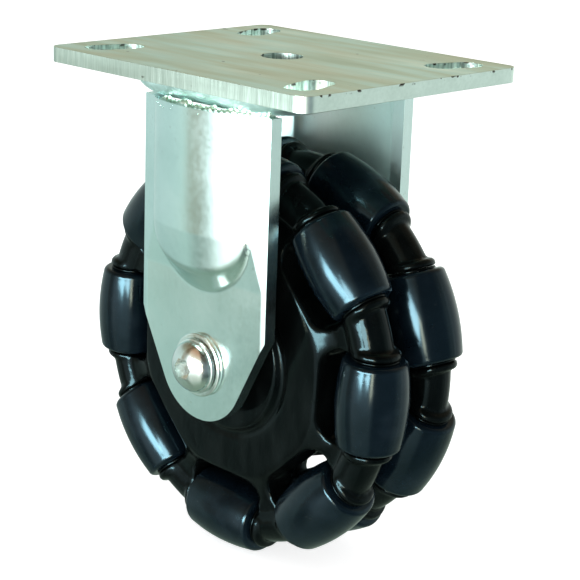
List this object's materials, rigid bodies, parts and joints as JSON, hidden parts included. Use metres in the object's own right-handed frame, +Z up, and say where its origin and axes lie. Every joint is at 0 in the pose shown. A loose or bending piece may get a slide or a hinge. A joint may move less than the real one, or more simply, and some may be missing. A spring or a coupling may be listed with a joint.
{
  "type": "fixed omni-wheel caster",
  "caption": "Rigid plate caster with a double-row omnidirectional wheel whose barrel rollers spin freely.",
  "frame": {"origin": "on the floor, below the middle of the axle and of the top plate", "axes": "+X the rolling direction and the plate's long side, +Y along the axle towards the nut, +Z up"},
  "size_m": [0.125, 0.09, 0.151],
  "materials": {
    "zinc_plate": "yellow-green passivated zinc, satin, with streaks",
    "zinc_pressing": "bright zinc on pressed steel, semi-gloss",
    "weld_metal": "rough plated weld",
    "bright_steel": "bright plated steel",
    "plain_steel": "turned steel",
    "black_plastic": "glossy black moulding",
    "roller_polyurethane": "dark navy polyurethane, semi-gloss"
  },
  "bodies": {
    "fork": {"top_plate": "zinc_plate", "fork_crown": "zinc_pressing", "fork_leg_front": "zinc_pressing", "fork_leg_rear": "zinc_pressing", "weld_bead_front": "weld_metal", "weld_bead_rear": "weld_metal", "axle_bolt": "bright_steel", "axle_nut": "bright_steel", "axle_sleeve": "plain_steel", "axle_washer_front": "bright_steel", "axle_spacer_front": "plain_steel", "bearing_inner_front": "bright_steel", "axle_washer_rear": "bright_steel", "axle_spacer_rear": "plain_steel", "bearing_inner_rear": "bright_steel"},
    "wheel": {"hub_front": "black_plastic", "bearing_outer_front": "bright_steel", "bearing_balls_front": "bright_steel", "hub_rear": "black_plastic", "bearing_outer_rear": "bright_steel", "bearing_balls_rear": "bright_steel", "roller_pin_front_1": "plain_steel", "roller_pin_front_2": "plain_steel", "roller_pin_front_3": "plain_steel", "roller_pin_front_4": "plain_steel", "roller_pin_front_5": "plain_steel", "roller_pin_front_6": "plain_steel", "roller_pin_front_7": "plain_steel", "roller_pin_front_8": "plain_steel", "roller_pin_rear_1": "plain_steel", "roller_pin_rear_2": "plain_steel", "roller_pin_rear_3": "plain_steel", "roller_pin_rear_4": "plain_steel", "roller_pin_rear_5": "plain_steel", "roller_pin_rear_6": "plain_steel", "roller_pin_rear_7": "plain_steel", "roller_pin_rear_8": "plain_steel"},
    "front_roller_1": {"roller_front_1": "roller_polyurethane"},
    "front_roller_2": {"roller_front_2": "roller_polyurethane"},
    "front_roller_3": {"roller_front_3": "roller_polyurethane"},
    "front_roller_4": {"roller_front_4": "roller_polyurethane"},
    "front_roller_5": {"roller_front_5": "roller_polyurethane"},
    "front_roller_6": {"roller_front_6": "roller_polyurethane"},
    "front_roller_7": {"roller_front_7": "roller_polyurethane"},
    "front_roller_8": {"roller_front_8": "roller_polyurethane"},
    "rear_roller_1": {"roller_rear_1": "roller_polyurethane"},
    "rear_roller_2": {"roller_rear_2": "roller_polyurethane"},
    "rear_roller_3": {"roller_rear_3": "roller_polyurethane"},
    "rear_roller_4": {"roller_rear_4": "roller_polyurethane"},
    "rear_roller_5": {"roller_rear_5": "roller_polyurethane"},
    "rear_roller_6": {"roller_rear_6": "roller_polyurethane"},
    "rear_roller_7": {"roller_rear_7": "roller_polyurethane"},
    "rear_roller_8": {"roller_rear_8": "roller_polyurethane"}
  },
  "joints": [
    {"name": "wheel_spin", "type": "hinge", "parent": "fork", "child": "wheel", "pos_m": [0, 0, 0.0625], "axis": [0, 1, 0], "continuous": true},
    {"name": "front_roller_1_spin", "type": "hinge", "parent": "wheel", "child": "front_roller_1", "pos_m": [0.03801, -0.0119, 0.0977], "axis": [-0.6794, 0, 0.7337], "continuous": true},
    {"name": "front_roller_2_spin", "type": "hinge", "parent": "wheel", "child": "front_roller_2", "pos_m": [0.00199, -0.0119, 0.11426], "axis": [-0.9993, 0, 0.0384], "continuous": true},
    {"name": "front_roller_3_spin", "type": "hinge", "parent": "wheel", "child": "front_roller_3", "pos_m": [-0.03519, -0.0119, 0.10051], "axis": [-0.7337, 0, -0.6794], "continuous": true},
    {"name": "front_roller_4_spin", "type": "hinge", "parent": "wheel", "child": "front_roller_4", "pos_m": [-0.05176, -0.0119, 0.06449], "axis": [-0.0384, 0, -0.9993], "continuous": true},
    {"name": "front_roller_5_spin", "type": "hinge", "parent": "wheel", "child": "front_roller_5", "pos_m": [-0.03801, -0.0119, 0.0273], "axis": [0.6794, 0, -0.7337], "continuous": true},
    {"name": "front_roller_6_spin", "type": "hinge", "parent": "wheel", "child": "front_roller_6", "pos_m": [-0.00199, -0.0119, 0.01074], "axis": [0.9993, 0, -0.0384], "continuous": true},
    {"name": "front_roller_7_spin", "type": "hinge", "parent": "wheel", "child": "front_roller_7", "pos_m": [0.03519, -0.0119, 0.02449], "axis": [0.7337, 0, 0.6794], "continuous": true},
    {"name": "front_roller_8_spin", "type": "hinge", "parent": "wheel", "child": "front_roller_8", "pos_m": [0.05176, -0.0119, 0.06051], "axis": [0.0384, 0, 0.9993], "continuous": true},
    {"name": "rear_roller_1_spin", "type": "hinge", "parent": "wheel", "child": "rear_roller_1", "pos_m": [0.04858, 0.0119, 0.08047], "axis": [-0.3469, 0, 0.9379], "continuous": true},
    {"name": "rear_roller_2_spin", "type": "hinge", "parent": "wheel", "child": "rear_roller_2", "pos_m": [0.02165, 0.0119, 0.10956], "axis": [-0.9085, 0, 0.4179], "continuous": true},
    {"name": "rear_roller_3_spin", "type": "hinge", "parent": "wheel", "child": "rear_roller_3", "pos_m": [-0.01797, 0.0119, 0.11108], "axis": [-0.9379, 0, -0.3469], "continuous": true},
    {"name": "rear_roller_4_spin", "type": "hinge", "parent": "wheel", "child": "rear_roller_4", "pos_m": [-0.04706, 0.0119, 0.08415], "axis": [-0.4179, 0, -0.9085], "continuous": true},
    {"name": "rear_roller_5_spin", "type": "hinge", "parent": "wheel", "child": "rear_roller_5", "pos_m": [-0.04858, 0.0119, 0.04453], "axis": [0.3469, 0, -0.9379], "continuous": true},
    {"name": "rear_roller_6_spin", "type": "hinge", "parent": "wheel", "child": "rear_roller_6", "pos_m": [-0.02165, 0.0119, 0.01544], "axis": [0.9085, 0, -0.4179], "continuous": true},
    {"name": "rear_roller_7_spin", "type": "hinge", "parent": "wheel", "child": "rear_roller_7", "pos_m": [0.01797, 0.0119, 0.01392], "axis": [0.9379, 0, 0.3469], "continuous": true},
    {"name": "rear_roller_8_spin", "type": "hinge", "parent": "wheel", "child": "rear_roller_8", "pos_m": [0.04706, 0.0119, 0.04085], "axis": [0.4179, 0, 0.9085], "continuous": true}
  ]
}
